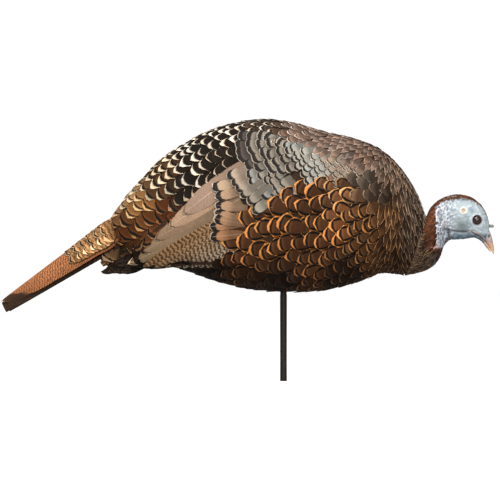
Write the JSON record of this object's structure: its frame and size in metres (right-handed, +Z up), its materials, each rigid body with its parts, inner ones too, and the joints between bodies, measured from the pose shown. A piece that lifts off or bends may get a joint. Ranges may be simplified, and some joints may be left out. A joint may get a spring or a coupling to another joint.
{
  "type": "turkey decoy",
  "caption": "Life-size feeding hen turkey decoy with a turning, removable head and a hollow body that swivels and lifts off a ground stake.",
  "frame": {"origin": "centre of the square lower end of the stake", "axes": "+X forwards to the beak, +Y to the bird's left, +Z up along the stake"},
  "size_m": [0.7877, 0.2276, 0.418],
  "materials": {
    "stake_paint": "matt brown-black paint with worn edges",
    "plated_steel": "zinc plated",
    "nylon": "natural nylon",
    "black_plastic": "moulded black",
    "seal_rubber": "soft black",
    "body_plumage": "carved feathers, dark brown with rust and cream edges, matt paint",
    "wing_plumage": "carved flight feathers, tan, grey-blue and barred, matt paint",
    "tail_plumage": "rust with fine dark barring, matt paint",
    "undertail_plumage": "dark ragged feathers, matt paint",
    "head_skin": "wrinkled pale blue skin, matt paint",
    "eye_acrylic": "glossy dark brown",
    "beak_horn": "horn colour, satin, yellow at the tip"
  },
  "bodies": {
    "stake": {"stake_tube": "stake_paint", "spike_bush": "nylon", "stake_spindle": "plated_steel", "spindle_washer": "plated_steel", "spindle_screw": "plated_steel"},
    "spike": {"ground_spike": "plated_steel", "spike_guide": "nylon"},
    "swivel": {"swivel_sleeve": "nylon", "sleeve_cap": "black_plastic"},
    "decoy": {"shell_right": "body_plumage", "shell_left": "body_plumage", "receiver_tube": "black_plastic", "receiver_cap": "black_plastic", "tail_block": "black_plastic", "tail_fan": "tail_plumage", "tail_screws": "plated_steel", "undertail": "undertail_plumage", "wing_right": "wing_plumage", "wing_left": "wing_plumage", "wing_clips": "plated_steel", "neck_socket": "black_plastic", "neck_circlip": "plated_steel", "turn_stop_screw": "plated_steel"},
    "neck": {"neck_ring": "nylon", "ring_drag_seal": "seal_rubber"},
    "head": {"head_shell": "head_skin", "head_spigot": "black_plastic", "spigot_o_ring": "seal_rubber", "eye_right": "eye_acrylic", "eye_left": "eye_acrylic", "beak_upper": "beak_horn", "beak_lower": "beak_horn", "snood": "head_skin"}
  },
  "joints": [
    {"name": "spike_slide", "type": "slide", "parent": "stake", "child": "spike", "axis": [0, 0, -1], "range_m": [0, 0.25]},
    {"name": "wind_swivel", "type": "hinge", "parent": "stake", "child": "swivel", "pos_m": [0, 0, 0.33], "axis": [0, 0, 1], "continuous": true},
    {"name": "lift_off", "type": "slide", "parent": "swivel", "child": "decoy", "axis": [0, 0, 1], "range_m": [0, 0.26]},
    {"name": "head_turn", "type": "hinge", "parent": "decoy", "child": "neck", "pos_m": [0.20975, 0, 0.2165], "axis": [0.9482, 0, -0.3178], "range_deg": [-90, 90]},
    {"name": "head_pull", "type": "slide", "parent": "neck", "child": "head", "axis": [0.9482, 0, -0.3178], "range_m": [0, 0.05]}
  ]
}
